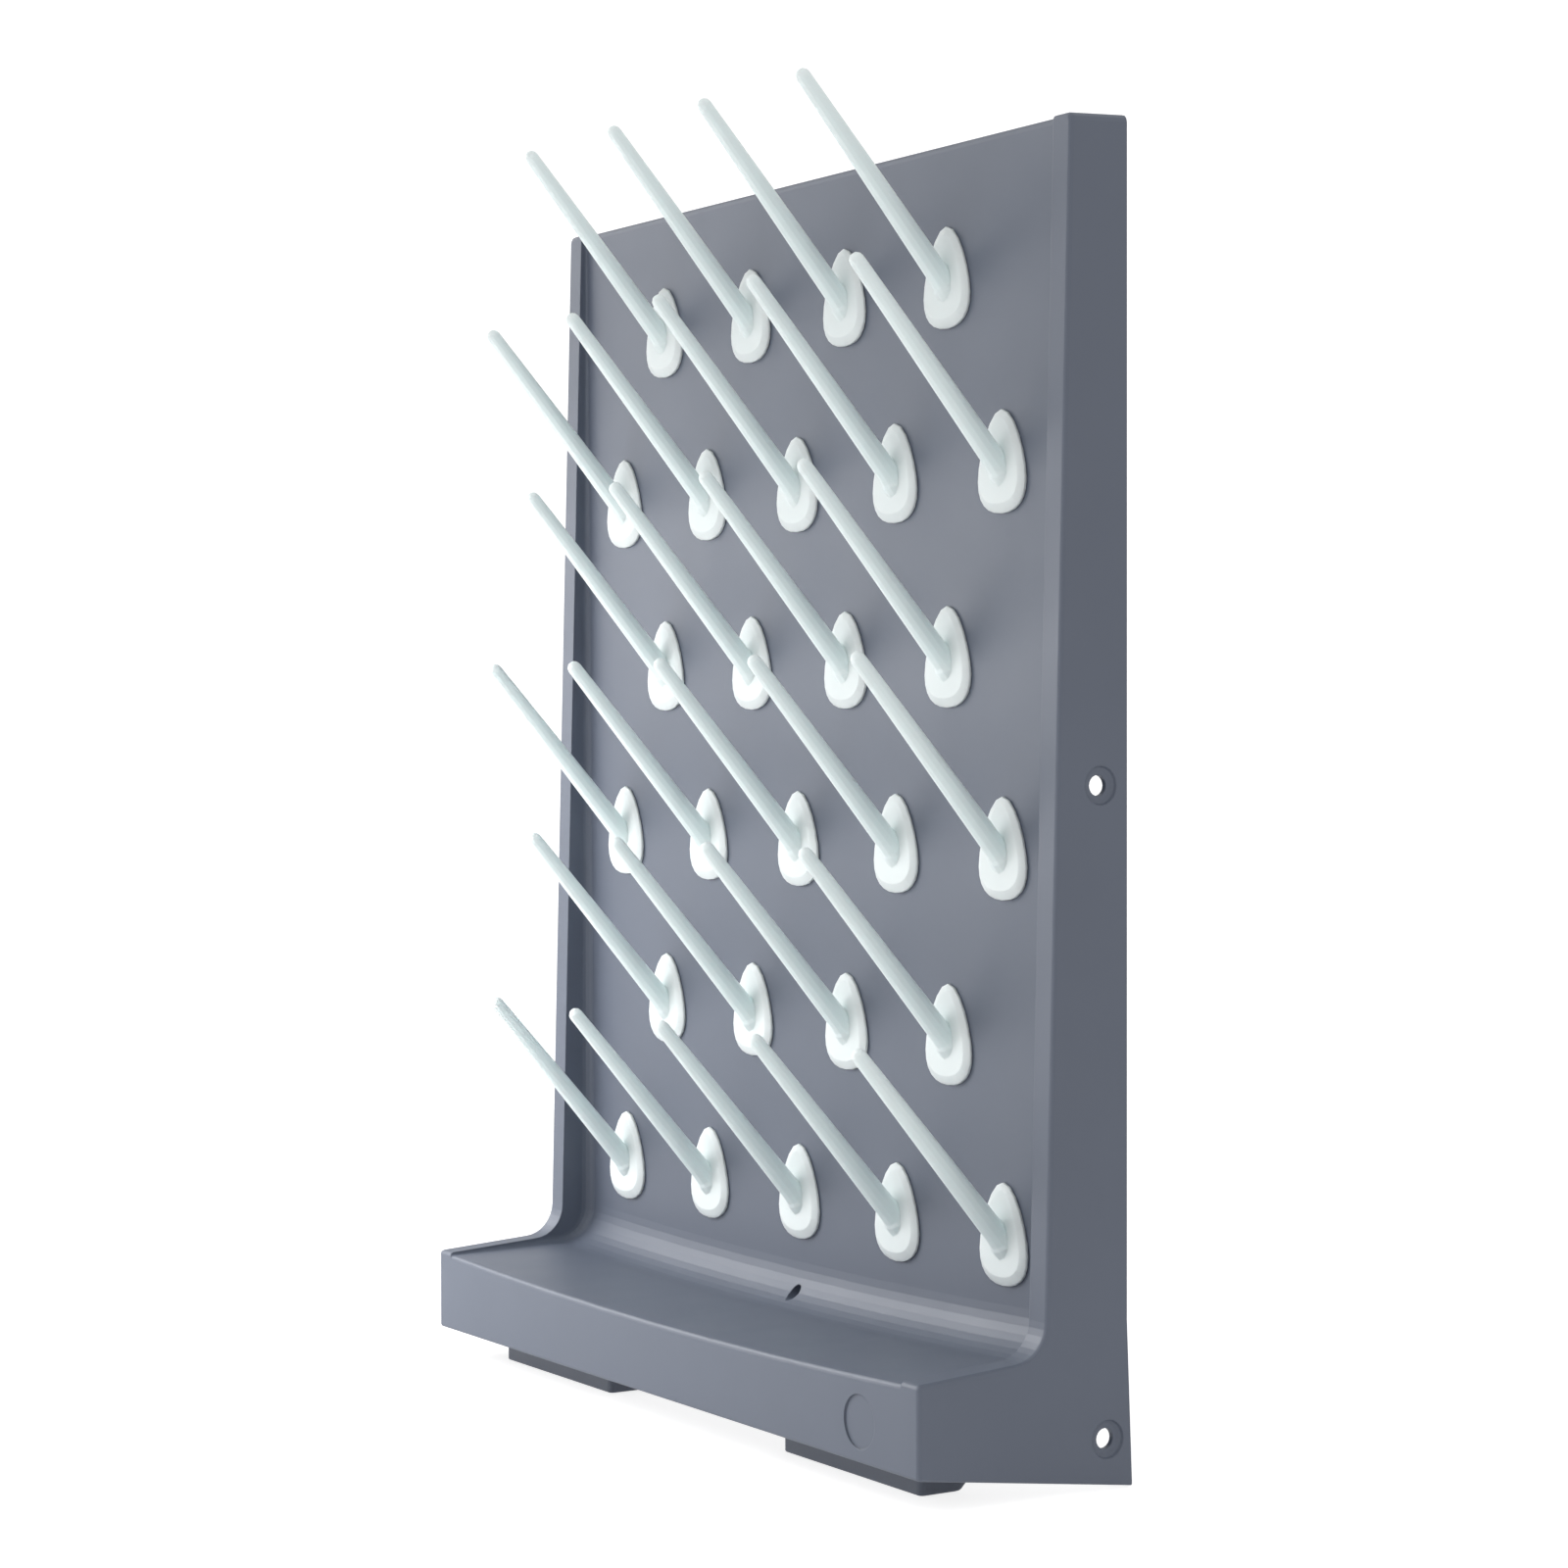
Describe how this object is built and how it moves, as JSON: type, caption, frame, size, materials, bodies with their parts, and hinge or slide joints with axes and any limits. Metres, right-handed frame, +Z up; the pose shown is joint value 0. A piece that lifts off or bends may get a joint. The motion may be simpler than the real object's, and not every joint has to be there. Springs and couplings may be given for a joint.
{
  "type": "drying pegboard rack",
  "caption": "Wall or bench rack: a hollow moulded board with a drip tray, and leaning push-in pegs that hold upturned glassware to drain.",
  "frame": {"origin": "on the ground, midway between the side walls and midway between the tray's front face and the rear heel", "axes": "+Z up the board, -Y out of the pegboard's front, +X to the right as seen from the front"},
  "size_m": [0.4016, 0.1024, 0.5613],
  "materials": {
    "board_plastic": "satin blue-grey",
    "peg_plastic": "satin pale greenish white"
  },
  "bodies": {
    "root": {"backboard": "board_plastic", "peg_1_1": "peg_plastic", "peg_1_2": "peg_plastic", "peg_1_3": "peg_plastic", "peg_1_4": "peg_plastic", "peg_2_1": "peg_plastic", "peg_2_2": "peg_plastic", "peg_2_3": "peg_plastic", "peg_2_4": "peg_plastic", "peg_2_5": "peg_plastic", "peg_3_1": "peg_plastic", "peg_3_2": "peg_plastic", "peg_3_3": "peg_plastic", "peg_3_4": "peg_plastic", "peg_4_1": "peg_plastic", "peg_4_2": "peg_plastic", "peg_4_3": "peg_plastic", "peg_4_4": "peg_plastic", "peg_4_5": "peg_plastic", "peg_5_1": "peg_plastic", "peg_5_2": "peg_plastic", "peg_5_3": "peg_plastic", "peg_5_4": "peg_plastic", "peg_6_1": "peg_plastic", "peg_6_2": "peg_plastic", "peg_6_3": "peg_plastic", "peg_6_4": "peg_plastic", "peg_6_5": "peg_plastic"}
  },
  "joints": []
}
